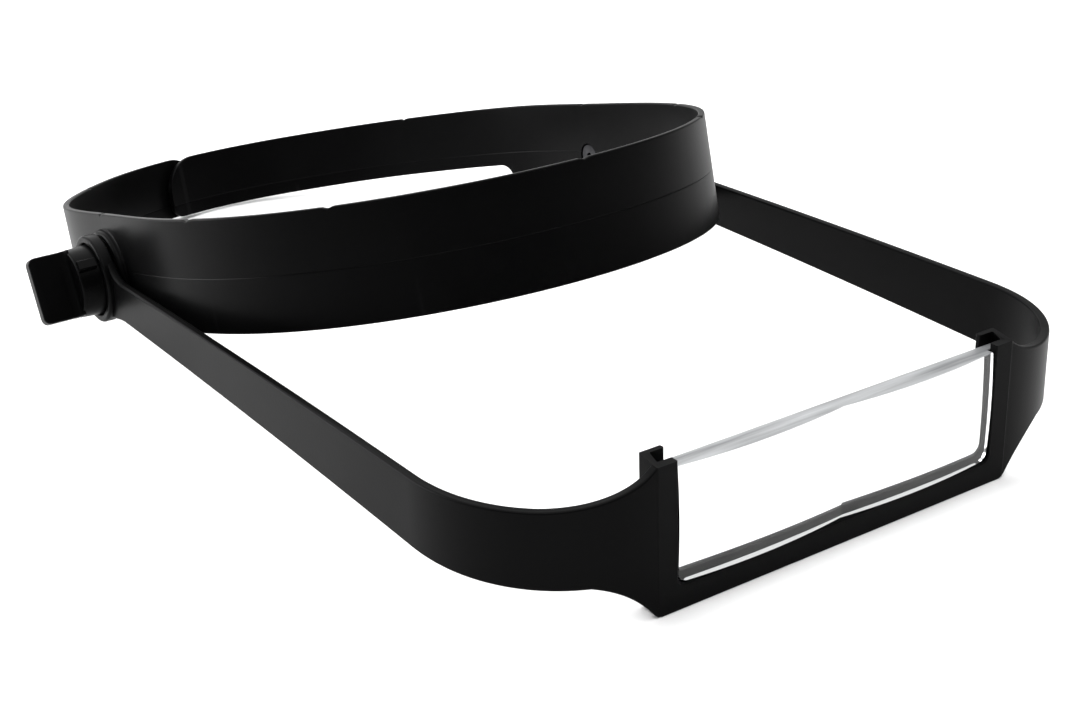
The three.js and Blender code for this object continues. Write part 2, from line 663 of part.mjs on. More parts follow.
const magnifier = new THREE.Group();
magnifier.add(drawn);
magnifier.updateMatrixWorld(true);

export default magnifier;
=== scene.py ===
"""The looks of a head visor magnifier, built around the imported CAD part.

Shapes are drawn in millimetres in the part's own tilted frames and placed from there, so
every finished mesh is in metres in the row frame. The wearer looks along -Y.
"""
import json
import math

import bmesh
import bpy
from mathutils import Matrix, Vector


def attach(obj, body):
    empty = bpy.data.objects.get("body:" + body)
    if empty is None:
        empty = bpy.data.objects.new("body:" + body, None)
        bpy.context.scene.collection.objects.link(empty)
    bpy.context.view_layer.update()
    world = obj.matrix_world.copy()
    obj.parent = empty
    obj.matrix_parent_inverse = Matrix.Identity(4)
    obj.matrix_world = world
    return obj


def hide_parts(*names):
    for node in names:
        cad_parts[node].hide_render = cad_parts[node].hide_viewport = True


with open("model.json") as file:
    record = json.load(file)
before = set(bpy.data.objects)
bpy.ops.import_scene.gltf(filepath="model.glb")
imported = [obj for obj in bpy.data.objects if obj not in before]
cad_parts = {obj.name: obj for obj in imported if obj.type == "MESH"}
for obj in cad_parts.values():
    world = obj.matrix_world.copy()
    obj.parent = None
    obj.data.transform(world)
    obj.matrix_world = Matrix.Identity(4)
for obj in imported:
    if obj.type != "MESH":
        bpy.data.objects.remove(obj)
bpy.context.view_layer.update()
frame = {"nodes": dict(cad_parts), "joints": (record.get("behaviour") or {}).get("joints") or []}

MM = 0.001
RIGHT = -1
LEFT = 1
SIDES = {"right": RIGHT, "left": LEFT}

# ---------------------------------------------------------------- places taken from the frame

JOINTS = {joint["name"]: joint for joint in frame["joints"]}
PIVOT = Vector(JOINTS["visor_tilt"]["pos_m"])
LENS_UP = Vector(JOINTS["lens_slide"]["axis"])
VISOR_TURN = math.atan2(-LENS_UP.y, LENS_UP.z)
BAND_TURN = VISOR_TURN - math.radians(13.5)      # the band against the arms


def drawing_place(turn):
    """From millimetres round the tilt axis to metres in the row frame."""
    return Matrix.Translation(PIVOT) @ Matrix.Rotation(turn, 4, "X") @ Matrix.Scale(MM, 4)


VISOR = drawing_place(VISOR_TURN)
BAND = drawing_place(BAND_TURN)


def side_place(side, turn=0.0):
    """The same for pieces drawn with the tilt axis as +Z, seen from the middle of the object."""
    return VISOR @ Matrix.Rotation(side * math.pi / 2, 4, "Y") @ Matrix.Rotation(-side * turn, 4, "Z")


def drawn_box(node, place):
    """Lowest and highest corner of a CAD node, in millimetres, in one of the drawing frames."""
    inverse = place.inverted()
    points = [inverse @ vertex.co for vertex in frame["nodes"][node].data.vertices]
    low = Vector([min(point[axis] for point in points) for axis in range(3)])
    high = Vector([max(point[axis] for point in points) for axis in range(3)])
    return low, high


# ---------------------------------------------------------------- dimensions, in millimetres

CORNER_STEPS = 3             # facets of a rounded edge
END_STEPS = 15               # cross-sections inside the rounding of a strip's end
ROUND_STEPS = 96             # facets of a full circle

band_low, band_high = drawn_box("head_band", BAND)
BAND_TOP = band_high.z
BAND_BOTTOM = band_low.z
BAND_MIDDLE_Y = 14.2
BAND_RADIUS = 96
BAND_WAVES = [-0.141, 0.178, -0.010, 0.010, 0.021]   # cosines of 1 to 5 turns, as shares of the radius
BAND_WALL = 1.8
BAND_STEP = 0.6              # distance between two cross-sections
BAND_EDGE = 0.45             # rounding of the wall's edges
CREASE_HEIGHT = 1.65
CREASE_HALF = 0.3
CREASE_DEPTH = 0.16
STRAP_BOTTOM = -2.6
SHOULDER_Y = 47
OUTER_TAIL_END = math.radians(4.6)
OUTER_TAIL_CORNERS = (8, 8)  # at the upper and the lower edge
INNER_TAIL_END = math.radians(372)
INNER_TAIL_CORNERS = (12, 4)
INNER_TAIL_INSET = 2.8
INNER_TAIL_STEP = (math.radians(320), math.radians(345))
TONGUE_END = math.radians(-13)
TONGUE_WALL = 1.2
TONGUE_HEIGHT = 12
GATE_MARKS = [math.radians(angle) for angle in (42, 100, 131.5, 152, 181.5, 208, 228.5, 260, 318)]
GATE_HALF = 0.7
GATE_DEPTH = 0.45

PAD_ANGLES = (math.radians(138), math.radians(222))
PAD_STEP = 0.8
PAD_CORNER = 9.0
PAD_CORNER_SHARE = 0.8       # of a round corner, so that the ends stay rather square
PAD_SEAM = 0.7               # the cover's seam above the wall, and the cushion on its two sides
PAD_CROWN = 3.2
PAD_BACK = 0.6
PAD_CROWN_POWER = 0.55       # below 1 for a flatter crown and squarer edges
PAD_EDGE_POWER = 0.7
PAD_END_BULGE = 0.3          # share of the crown left at the pinched ends
PAD_CHANNEL_EVERY = 24.0
PAD_CHANNEL_HALF = 1.1
PAD_CHANNEL_DEPTH = 0.4      # share of the crown that a stitched channel takes away
PAD_FACETS = 36
PATCH_ANGLES = (math.radians(-11), math.radians(4))
PATCH_HEIGHT = 10
PATCH_WALL = 0.5
PATCH_GAP = 0.2
GAP = 0.3

visor_low, visor_high = drawn_box("visor_frame", VISOR)
FRONT = visor_low.y
FRAME_TOP = visor_high.z
FRAME_BOTTOM = visor_low.z
EYE_FACE = visor_high.x
EYE_RADIUS = visor_high.y
ARM_WALL = 2.2
ARM_EDGE = 0.55
ARM_PIVOT_X = 84.5
ARM_CORNER_X = 82.5
ARM_TOP = (2.6, 10.6, -3.8)  # constant, linear and square term over the arm's reach
ARM_BOTTOM = (-7.6, 4.0, -4.4)
ARM_REACH = 192
ARM_ROOT_LENGTH = 17
ARM_ROOT_DEPTH = 0.95        # how far down the eye the arm's root reaches, as a share of its radius
ARM_ROOT_POWER = 1.4
ARM_STEPS = 90
ARM_CROWDING = 1.7           # above 1 for closer cross-sections near the eye
ARM_INTO_POST = 1
CORNER_X = 37.6
CORNER_Y = 38.8
CORNER_POWER = 2.2

FRAME_HALF = 48.5
FRAME_DEPTH = 6.1
FRAME_WALL_TOP = FRAME_TOP - 0.9                 # the front wall ends lower than the rear rib
SLOT = (2.1, 4.8)
FRAME_SECTION = [            # (in from the post's side, up from the rail's underside, behind the front)
    (0.0, 0.0, 0.0),
    (0.0, 0.0, FRAME_DEPTH),
    (5.3, 7.2, FRAME_DEPTH),
    (5.3, 7.2, SLOT[1]),
    (1.6, 3.0, SLOT[1]),
    (1.6, 3.0, SLOT[0]),
    (5.0, 5.7, SLOT[0]),
    (5.0, 5.7, 0.0),
]
FRAME_EDGE = 0.3
FRAME_CORNER_STEPS = 8
FRAME_CORNERS = (1.2, 2.2)   # front view radii, outside and at the window
# Start, pull and end of the curves where the arm widens, as (x, height). They start on the arm's edge.
FLARE_TOP = ((76, None), (54, 9.6), (FRAME_HALF, FRAME_WALL_TOP))
FLARE_BOTTOM = ((64, None), (55, -9.2), (FRAME_HALF, FRAME_BOTTOM))

lens_low, lens_high = drawn_box("lens_plate", VISOR)
RIM_HALF = lens_high.x
RIM_BOTTOM = lens_low.z
PLATE_TOP = lens_high.z
PLATE_BACK = lens_high.y
RIM_FRONT = FRONT + 2.3
BODY_FRONT = FRONT + 0.8
BODY_HALF = 43.1
BODY_BOTTOM = -12.1
BODY_CORNER = 2.2
LENS_RADIUS = 165
LENS_MARGIN = 1              # the bulge starts this far outside the corners of each half
LENS_COLUMNS = 32
LENS_ROWS = 24
LENS_BEVEL = 0.3
RIM_CORNER = 0.5

# Pivots, as distances from the middle plane.
BOSS_RADIUS = 12.4
BOSS = (78.2, 81.7)
BOSS_PROUD = 2               # from its face down to the fillet at its foot
BOSS_FILLET = 0.6
BOSS_RIM = 1.3
bolt_low, bolt_high = drawn_box("pivot_bolt_left", VISOR)
BOLT_RADIUS = 2.0
BOLT_HOLE = 2.1
BOLT_HEAD_RADIUS = 3.8
BOLT_HEAD_TOP = bolt_low.x
BOLT_HEAD_LAND = 0.3
BOLT_TIP = bolt_high.x
COUNTERSINK_PLAY = 0.42
THREAD_START = 84.7
THREAD_PITCH = 0.7
THREAD_DEPTH = 0.35
THREAD_SIDES = 48
THREAD_RINGS = 8             # cross-sections in each turn
THREAD_CHAMFER = 0.5
SOCKET_ACROSS_FLATS = 2.5
SOCKET_DEPTH = 1.5
EYE_INSIDE = ARM_PIVOT_X - ARM_WALL
EYE_EDGE = 0.8
EYE_RECESS_RADIUS = 10
EYE_RECESS_FLOOR = 84.4
EYE_FILLET = 10
WASHER_RADIUS = 7.5
WASHER_HOLE = 2.3
FRICTION_WASHER = (81.9, 82.7)
FRICTION_WASHER_EDGE = 0.12
FLAT_WASHER = (84.7, 85.5)
FLAT_WASHER_EDGE = 0.18
SPRING_WASHER = (85.8, 86.6)
SPRING_WASHER_EDGE = 0.15
SPRING_WASHER_RADIUS = 4.2
SPRING_GAP = math.radians(14)
SPRING_PITCH = 0.24
INSERT = (86.9, 90.1)
INSERT_ACROSS_FLATS = 7
INSERT_CHAMFER = 0.25
INSERT_CORNER_SLOPE = 0.6
knob_low, knob_high = drawn_box("thumb_knob_left", VISOR)
HUB_RADIUS = 9.6
HUB_END_RADIUS = 9.2
HUB = (knob_low.x, 91.6)
HUB_EDGE = 0.5
PADDLE_END = knob_high.x
PADDLE_HALF_WIDTH = 9.0
PADDLE_HALF_THICKNESS = 2.2
PADDLE_FILLET = 2.2
PADDLE_CORNER = 1.8
PADDLE_EDGE = 0.5
PADDLE_TAPER = 0.5           # how much thinner it gets in the rounding of its end
PADDLE_STEPS = 8
PADDLE_TURN = math.radians(25.5)
INDEX_RIB_TURN = math.radians(-70)
INDEX_RIB_HALF = 1.4
INDEX_RIB_HEIGHT = 1.3
INDEX_RIB_START = 86.6
INDEX_RIB_EDGE = 0.35


# ---------------------------------------------------------------- mesh making

def loft(rings, closed=False):
    """One closed surface over rings of equally many points. An open row of rings gets end caps."""
    mesh = bmesh.new()
    rows = [[mesh.verts.new(point) for point in ring] for ring in rings]
    count = len(rows[0])
    next_rows = rows[1:] + (rows[:1] if closed else [])
    for near, far in zip(rows, next_rows):
        for i in range(count):
            j = (i + 1) % count
            mesh.faces.new((near[i], near[j], far[j], far[i]))
    if not closed:
        mesh.faces.new(rows[0])
        mesh.faces.new(rows[-1])
    bmesh.ops.recalc_face_normals(mesh, faces=mesh.faces)
    return mesh


def linked(name, mesh):
    data = bpy.data.meshes.new(name)
    mesh.to_mesh(data)
    mesh.free()
    obj = bpy.data.objects.new(name, data)
    bpy.context.scene.collection.objects.link(obj)
    return obj


def boolean(mesh, other, operation):
    """mesh with other joined to it (UNION), cut out of it (DIFFERENCE) or kept from it (INTERSECT)."""
    target = linked("boolean_target", mesh)
    tool = linked("boolean_tool", other)
    modifier = target.modifiers.new("boolean", "BOOLEAN")
    modifier.operation = operation
    modifier.solver = "EXACT"
    modifier.object = tool
    result = bmesh.new()
    result.from_object(target, bpy.context.evaluated_depsgraph_get())
    for used in (target, tool):
        data = used.data
        bpy.data.objects.remove(used)
        bpy.data.meshes.remove(data)
    return result


def smooth_step(value):
    value = min(max(value, 0.0), 1.0)
    return value * value * (3 - 2 * value)


def steps_between(start, end, count):
    return [start + (end - start) * i / count for i in range(count + 1)]


def rounded_rectangle(low, high, radius, steps=CORNER_STEPS):
    """Points round a rectangle from its lowest left corner on, with rounded corners."""
    middles = [
        (low[0] + radius, low[1] + radius, 180),
        (high[0] - radius, low[1] + radius, 270),
        (high[0] - radius, high[1] - radius, 0),
        (low[0] + radius, high[1] - radius, 90),
    ]
    points = []
    for x, y, start in middles:
        for i in range(steps + 1):
            angle = math.radians(start + 90 * i / steps)
            points.append((x + radius * math.cos(angle), y + radius * math.sin(angle)))
    return points


def rounded_polygon(points, radius, steps=CORNER_STEPS):
    """The polygon with each right-angled corner rounded; extra values of a point are kept."""
    outline = []
    count = len(points)
    for i, corner in enumerate(points):
        before = Vector(points[i - 1]) - Vector(corner)
        after = Vector(points[(i + 1) % count]) - Vector(corner)
        for k in range(steps + 1):
            angle = math.radians(90 * k / steps)
            along = [radius * (1 - math.sin(angle)), radius * (1 - math.cos(angle))]
            outline.append([value + sign(back) * along[0] + sign(ahead) * along[1]
                            for value, back, ahead in zip(corner, before, after)])
    return outline


def sign(value):
    return (value > 1e-9) - (value < -1e-9)


def circle(radius, height, steps=ROUND_STEPS):
    angles = [2 * math.pi * i / steps for i in range(steps)]
    return [Vector((radius * math.cos(a), radius * math.sin(a), height)) for a in angles]


def turned(profile, steps=ROUND_STEPS):
    """A solid of revolution round +Z from (radius, height) points, its two ends closed flat."""
    return loft([circle(radius, height, steps) for radius, height in profile])


def turned_ring(profile, steps=ROUND_STEPS, angles=None):
    """A ring of revolution round +Z, or part of one, from a closed (radius, height) outline."""
    whole = angles is None
    if whole:
        angles = [2 * math.pi * i / steps for i in range(steps)]
    rings = [[Vector((radius * math.cos(a), radius * math.sin(a), height)) for radius, height in profile]
             for a in angles]
    return loft(rings, closed=whole)


# ---------------------------------------------------------------- pieces

def finished(name, mesh, place, body, node, material, sharp=35):
    """Turns a drawn mesh into a piece that stands for a CAD node and rides on its body."""
    mesh.transform(place)
    bmesh.ops.recalc_face_normals(mesh, faces=mesh.faces)
    obj = linked(name, mesh)
    obj.data.materials.append(material)
    obj.data.polygons.foreach_set("use_smooth", [True] * len(obj.data.polygons))
    obj.data.set_sharp_from_angle(angle=math.radians(sharp))
    weighted = obj.modifiers.new("weighted_normals", "WEIGHTED_NORMAL")
    weighted.keep_sharp = True
    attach(obj, body)
    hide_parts(node)
    return obj


# ---------------------------------------------------------------- head band

def no_inset(_angle):
    return 0.0


def tail_inset(angle):
    start, end = INNER_TAIL_STEP
    return INNER_TAIL_INSET * smooth_step((angle - start) / (end - start))


def band_point(angle, inset):
    """A point of the band's outer face. Angle 0 is the back, and it runs over the wearer's right side."""
    waves = sum(share * math.cos((n + 1) * angle) for n, share in enumerate(BAND_WAVES))
    radius = BAND_RADIUS * (1 + waves) - inset(angle)
    return Vector((-radius * math.sin(angle), BAND_MIDDLE_Y + radius * math.cos(angle), 0))


def band_foot(angle, inset=no_inset):
    """That point, and the direction in through the wall."""
    tiny = 1e-4
    along = band_point(angle + tiny, inset) - band_point(angle - tiny, inset)
    return band_point(angle, inset), Vector((-along.y, along.x, 0)).normalized()


def band_angles(start, end, step, end_rounding=0.0):
    """Angles a step apart, closer together inside the rounding of each end."""
    count = max(2, round((end - start) * BAND_RADIUS / step))
    angles = steps_between(start, end, count)
    if end_rounding:
        for i in range(1, END_STEPS):
            share = end_rounding * (1 - math.cos(math.radians(90 * i / END_STEPS))) / BAND_RADIUS
            angles += [start + share, end - share]
    return sorted(angles)


def wall_ring(foot, inward, outline):
    """A (depth, height) outline stood up at one place of the band."""
    return [foot + inward * depth + Vector((0, 0, height)) for depth, height in outline]


def corner_drop(distance, radius):
    """How far a rounded corner takes an edge back at that distance from the end."""
    if distance >= radius:
        return 0.0
    return radius - math.sqrt(max(radius ** 2 - (radius - distance) ** 2, 0.0))


def band_lower_edge(y):
    """The lower edge steps up over an S of two quarter circles from the front to the strap."""
    radius = (STRAP_BOTTOM - BAND_BOTTOM) / 2
    ahead = SHOULDER_Y - y
    if ahead <= radius:
        return STRAP_BOTTOM - corner_drop(radius - max(ahead, 0.0), radius)
    return BAND_BOTTOM + corner_drop(ahead - radius, radius)


def band_outline(angle, y):
    """The wall's section: rounded edges, and a shallow crease along the middle of both faces."""
    tails = [(angle - OUTER_TAIL_END, OUTER_TAIL_CORNERS), (INNER_TAIL_END - angle, INNER_TAIL_CORNERS)]
    drops = [[corner_drop(distance * BAND_RADIUS, radius) for radius in radii]
             for distance, radii in tails]
    upper_drop, lower_drop = (max(pair) for pair in zip(*drops))
    mark = sum(math.exp(-(((angle - mark) * BAND_RADIUS / GATE_HALF) ** 2)) for mark in GATE_MARKS)
    bottom = band_lower_edge(y) + lower_drop
    top = BAND_TOP - upper_drop - GATE_DEPTH * mark
    outline = rounded_rectangle((0, bottom), (BAND_WALL, top), BAND_EDGE)
    margin = BAND_EDGE + CREASE_HALF
    middle = min(max(CREASE_HEIGHT, bottom + margin), top - margin)
    crease = [(0, -CREASE_HALF), (CREASE_DEPTH, 0), (0, CREASE_HALF)]
    inner = [(BAND_WALL - depth, middle + height) for depth, height in crease]
    outer = [(depth, middle - height) for depth, height in crease]
    half = 2 * (CORNER_STEPS + 1)
    return outline[:half] + inner + outline[half:] + outer


def band_wall():
    rings = []
    for angle in band_angles(OUTER_TAIL_END, INNER_TAIL_END, BAND_STEP, max(INNER_TAIL_CORNERS)):
        foot, inward = band_foot(angle, tail_inset)
        rings.append(wall_ring(foot, inward, band_outline(angle, foot.y)))
    return loft(rings)


def band_tongue():
    middle = (BAND_TOP + STRAP_BOTTOM) / 2
    corner = TONGUE_HEIGHT / 3
    overlap = math.radians(2)
    rings = []
    for angle in band_angles(TONGUE_END, OUTER_TAIL_END + overlap, BAND_STEP, corner):
        half = TONGUE_HEIGHT / 2 - corner_drop((angle - TONGUE_END) * BAND_RADIUS, corner)
        outline = rounded_rectangle((0, middle - half), (TONGUE_WALL, middle + half), TONGUE_WALL / 3)
        rings.append(wall_ring(*band_foot(angle), outline))
    return loft(rings)


def quarter(steps=CORNER_STEPS):
    """Sine and one less cosine of the angles through a quarter turn."""
    angles = [math.radians(90 * i / steps) for i in range(steps + 1)]
    return [(math.sin(angle), 1 - math.cos(angle)) for angle in angles]


def boss():
    """A round pad on the band's side, with a small fillet at its foot and a rounded rim."""
    foot = BOSS[1] - BOSS_PROUD
    profile = [(BOSS_RADIUS + BOSS_FILLET, BOSS[0])]
    profile += [(BOSS_RADIUS + BOSS_FILLET * (1 - far), foot + BOSS_FILLET * near)
                for far, near in quarter()]
    profile += [(BOSS_RADIUS - BOSS_RIM * near, BOSS[1] - BOSS_RIM * (1 - far))
                for far, near in quarter(2 * CORNER_STEPS)]
    return turned(profile)


def across(mesh, side):
    """Something drawn round +Z, turned so that it points out to one side of the object."""
    mesh.transform(Matrix.Rotation(side * math.pi / 2, 4, "Y"))
    return mesh


def countersunk(head_radius, shank_radius, start):
    """(radius, height) from a bolt head's face over its cone to its shank."""
    cone = BOLT_HEAD_TOP + BOLT_HEAD_LAND
    return [(head_radius, start), (head_radius, cone), (shank_radius, cone + head_radius - shank_radius)]


def countersunk_hole(side):
    profile = countersunk(BOLT_HEAD_RADIUS + COUNTERSINK_PLAY, BOLT_HOLE, BOLT_HEAD_TOP - 2)
    return across(turned(profile + [(BOLT_HOLE, BOSS[1] + 1)]), side)


def head_band(material):
    mesh = boolean(band_wall(), band_tongue(), "UNION")
    for side in SIDES.values():
        mesh = boolean(mesh, across(boss(), side), "UNION")
        mesh = boolean(mesh, countersunk_hole(side), "DIFFERENCE")
    finished("head_band_moulding", mesh, BAND, "head_band", "head_band", material)


def pad_outline(bulge, bottom, top):
    """A cushion's section: crowned towards the head, nearly flat towards the wall."""
    seam = BAND_WALL + GAP + PAD_SEAM
    middle = (bottom + top) / 2
    half = (top - bottom) / 2
    outline = []
    for i in range(PAD_FACETS):
        turn = 2 * math.pi * i / PAD_FACETS
        height = math.copysign(abs(math.sin(turn)) ** PAD_EDGE_POWER, math.sin(turn))
        depth = math.cos(turn)
        if depth > 0:
            depth = depth ** PAD_CROWN_POWER * PAD_CROWN * bulge
        else:
            depth *= PAD_BACK
        outline.append((seam + depth, middle + half * height))
    return outline


def forehead_pad(material):
    """A soft quilted strip in a sewn cover, pinched along its edges."""
    low, high = drawn_box("forehead_pad", BAND)
    length = (PAD_ANGLES[1] - PAD_ANGLES[0]) * BAND_RADIUS
    rings = []
    for angle in band_angles(*PAD_ANGLES, PAD_STEP, PAD_CORNER):
        distance = (angle - PAD_ANGLES[0]) * BAND_RADIUS
        end = min(distance, length - distance)
        offset = (distance - length / 2) % PAD_CHANNEL_EVERY
        offset = min(offset, PAD_CHANNEL_EVERY - offset)
        bulge = PAD_END_BULGE + (1 - PAD_END_BULGE) * smooth_step(end / PAD_CORNER)
        bulge *= 1 - PAD_CHANNEL_DEPTH * math.exp(-((offset / PAD_CHANNEL_HALF) ** 2))
        drop = corner_drop(end, PAD_CORNER) * PAD_CORNER_SHARE
        rings.append(wall_ring(*band_foot(angle), pad_outline(bulge, low.z + drop, high.z - drop)))
    pad = finished("forehead_pad_cover", loft(rings), BAND, "head_band", "forehead_pad",
                   material, sharp=50)


def tape_patch(name, near, material):
    """One half of the hook and loop fastening between the tails."""
    middle = (BAND_TOP + STRAP_BOTTOM) / 2
    rings = []
    for angle in band_angles(*PATCH_ANGLES, BAND_STEP):
        low = (near, middle - PATCH_HEIGHT / 2)
        high = (near + PATCH_WALL, middle + PATCH_HEIGHT / 2)
        outline = rounded_rectangle(low, high, PATCH_WALL / 4)
        rings.append(wall_ring(*band_foot(angle), outline))
    finished(name + "_tape", loft(rings), BAND, "head_band", name, material)


# ---------------------------------------------------------------- visor frame

def arm_height(terms, ahead):
    share = ahead / ARM_REACH
    return terms[0] + terms[1] * share + terms[2] * share ** 2


def pulled_curve(start, pull, end, x):
    """Height at x of a quadratic curve between two points, pulled towards a third."""
    a = start[0] - 2 * pull[0] + end[0]
    b = 2 * (pull[0] - start[0])
    c = start[0] - x
    t = (-b - math.sqrt(b * b - 4 * a * c)) / (2 * a)
    return (1 - t) ** 2 * start[1] + 2 * t * (1 - t) * pull[1] + t ** 2 * end[1]


def flare_height(flare, terms, x):
    """The edge of the arm where it widens to the frame, or None beside that stretch."""
    start, pull, end = flare
    if x > start[0]:
        return None
    arm = arm_height(terms, -FRONT - CORNER_Y / 2)
    return pulled_curve((start[0], arm), pull, end, max(x, end[0]))


def eye_fillet_height(ahead):
    """The hollow curve from the eye's edge down to the arm's upper edge, or None beside it."""
    middle_z = arm_height(ARM_TOP, EYE_RADIUS + EYE_FILLET / 2) + EYE_FILLET
    middle_ahead = math.sqrt((EYE_RADIUS + EYE_FILLET) ** 2 - middle_z ** 2)
    start = middle_ahead * EYE_RADIUS / (EYE_RADIUS + EYE_FILLET)
    if ahead < start or ahead > middle_ahead:
        return None
    return middle_z - math.sqrt(EYE_FILLET ** 2 - (middle_ahead - ahead) ** 2)


def arm_top(x, ahead):
    curves = (eye_fillet_height(ahead), flare_height(FLARE_TOP, ARM_TOP, x))
    return max([arm_height(ARM_TOP, ahead)] + [height for height in curves if height is not None])


def arm_bottom(x, ahead):
    bottom = arm_height(ARM_BOTTOM, max(ahead, ARM_ROOT_LENGTH))
    if ahead < ARM_ROOT_LENGTH:
        share = (ARM_ROOT_LENGTH - max(ahead, 0.0)) / ARM_ROOT_LENGTH
        bottom -= (EYE_RADIUS * ARM_ROOT_DEPTH + bottom) * share ** ARM_ROOT_POWER
    flare = flare_height(FLARE_BOTTOM, ARM_BOTTOM, x)
    return bottom if flare is None else min(bottom, flare)


def arm_path():
    """Points of the left arm's outer face from the eye to the frame's post."""
    corner_y = FRONT + CORNER_Y
    behind = EYE_RADIUS / 2
    path = [Vector((ARM_PIVOT_X, behind, 0))]
    for step in steps_between(0, 1, ARM_STEPS):
        share = step ** ARM_CROWDING
        path.append(Vector((ARM_PIVOT_X + (ARM_CORNER_X - ARM_PIVOT_X) * share, corner_y * share, 0)))
    inside_post = FRAME_HALF - ARM_INTO_POST
    for angle in steps_between(0, math.pi / 2, ARM_STEPS)[1:]:
        across_share = math.cos(angle) ** (2 / CORNER_POWER)
        ahead_share = math.sin(angle) ** (2 / CORNER_POWER)
        x = ARM_CORNER_X - CORNER_X * (1 - across_share)
        path.append(Vector((max(x, inside_post), corner_y - CORNER_Y * ahead_share, 0)))
        if x <= inside_post:
            break
    return path


def arm(side):
    path = arm_path()
    rings = []
    for i, point in enumerate(path):
        along = path[min(i + 1, len(path) - 1)] - path[max(i - 1, 0)]
        inward = Vector((along.y, -along.x, 0)).normalized()
        ahead = -point.y
        low = (0, arm_bottom(point.x, ahead))
        high = (ARM_WALL, arm_top(point.x, ahead))
        ring = wall_ring(point, inward, rounded_rectangle(low, high, ARM_EDGE))
        rings.append([Vector((side * spot.x, spot.y, spot.z)) for spot in ring])
    return loft(rings)


def frame_ring(section, side, turn):
    """The frame's section on one post's side: turn 0 is on the post, a quarter turn on the rail."""
    outside, window = FRAME_CORNERS
    deepest = max(inset for inset, _lift, _depth in FRAME_SECTION)
    ring = []
    for inset, lift, depth in section:
        radius = outside + (window - outside) * inset / deepest
        x = FRAME_HALF - inset - radius * (1 - math.cos(turn))
        z = FRAME_BOTTOM + lift + radius * (1 - math.sin(turn))
        ring.append(Vector((side * x, FRONT + depth, z)))
    return ring


def slotted_frame():
    """A U of C-shaped section, open at the top: left post, rail, right post."""
    section = rounded_polygon(FRAME_SECTION, FRAME_EDGE)
    turns = [math.radians(90 * i / FRAME_CORNER_STEPS) for i in range(FRAME_CORNER_STEPS + 1)]
    corner = [frame_ring(section, LEFT, turn) for turn in turns]
    other = [frame_ring(section, RIGHT, turn) for turn in reversed(turns)]
    slot_middle = FRONT + sum(SLOT) / 2
    tops = []
    for ring in (corner[0], other[-1]):
        top = [Vector((point.x, point.y, FRAME_WALL_TOP if point.y < slot_middle else FRAME_TOP))
               for point in ring]
        tops.append(top)
    return loft([tops[0], *corner, *other, tops[1]])


def eye(side):
    """A round plate with a rounded rim that stands proud of the arm."""
    chamfer = EYE_EDGE / 2
    profile = [(EYE_RADIUS - chamfer, EYE_INSIDE), (EYE_RADIUS, EYE_INSIDE + chamfer)]
    profile += [(EYE_RADIUS - EYE_EDGE * near, EYE_FACE - EYE_EDGE * (1 - far))
                for far, near in quarter(2 * CORNER_STEPS)]
    return across(turned(profile), side)


def eye_bore(side):
    """The hole for the bolt, the friction washer's recess inside and the knob's recess outside."""
    inner = WASHER_RADIUS + GAP
    outer = EYE_RECESS_RADIUS
    floor = FRICTION_WASHER[1] + GAP
    chamfer = 0.25
    profile = [
        (inner, EYE_INSIDE - 1),
        (inner, floor),
        (BOLT_HOLE, floor),
        (BOLT_HOLE, EYE_RECESS_FLOOR),
        (outer, EYE_RECESS_FLOOR),
        (outer, EYE_FACE - chamfer),
        (outer + 2 * chamfer, EYE_FACE + chamfer),
    ]
    return across(turned(profile), side)


def visor_frame(material):
    mesh = slotted_frame()
    for side in SIDES.values():
        mesh = boolean(mesh, arm(side), "UNION")
        mesh = boolean(mesh, eye(side), "UNION")
        mesh = boolean(mesh, eye_bore(side), "DIFFERENCE")
    finished("visor_frame_moulding", mesh, VISOR, "visor", "visor_frame", material)


# ---------------------------------------------------------------- lens plate

def lens_front(x, z):
    """The bulged front face, one shallow dome for each half."""
    middle_z = (PLATE_TOP + BODY_BOTTOM) / 2
    rim = math.hypot(BODY_HALF / 2, (PLATE_TOP - BODY_BOTTOM) / 2) + LENS_MARGIN
    from_middle = math.hypot(abs(x) - BODY_HALF / 2, z - middle_z)
    drop = LENS_RADIUS - math.sqrt(LENS_RADIUS ** 2 - from_middle ** 2)
    height = LENS_RADIUS - math.sqrt(LENS_RADIUS ** 2 - rim ** 2)
    return BODY_FRONT - height + drop


def lens_body():
    """The bulged plate in the window, as a grid of points on its front and one flat back."""
    mesh = bmesh.new()
    half_columns = steps_between(0.0, BODY_HALF, LENS_COLUMNS)
    columns = [-x for x in reversed(half_columns[1:])] + half_columns
    rows = steps_between(BODY_BOTTOM, PLATE_TOP, LENS_ROWS)
    front = [[mesh.verts.new((x, lens_front(x, z), z)) for z in rows] for x in columns]
    for left, right in zip(front, front[1:]):
        for k in range(len(rows) - 1):
            mesh.faces.new((left[k], right[k], right[k + 1], left[k + 1]))
    border = [column[0] for column in front] + front[-1][1:-1]
    border += [column[-1] for column in reversed(front)] + front[0][-2:0:-1]
    back = [mesh.verts.new((vert.co.x, PLATE_BACK, vert.co.z)) for vert in border]
    for i in range(len(border)):
        j = (i + 1) % len(border)
        mesh.faces.new((border[i], border[j], back[j], back[i]))
    mesh.faces.new(back)
    bmesh.ops.recalc_face_normals(mesh, faces=mesh.faces)
    return mesh


def upright_outline(half, bottom, top, corner):
    """A rectangle in (x, z) with its two lower corners rounded."""
    steps = 2 * CORNER_STEPS
    low = rounded_rectangle((-half, bottom), (half, top), corner, steps)[:2 * (steps + 1)]
    return low + [(half, top), (-half, top)]


def upright_plate(outline, front, back):
    return loft([[Vector((x, y, z)) for x, z in outline] for y in (front, back)])


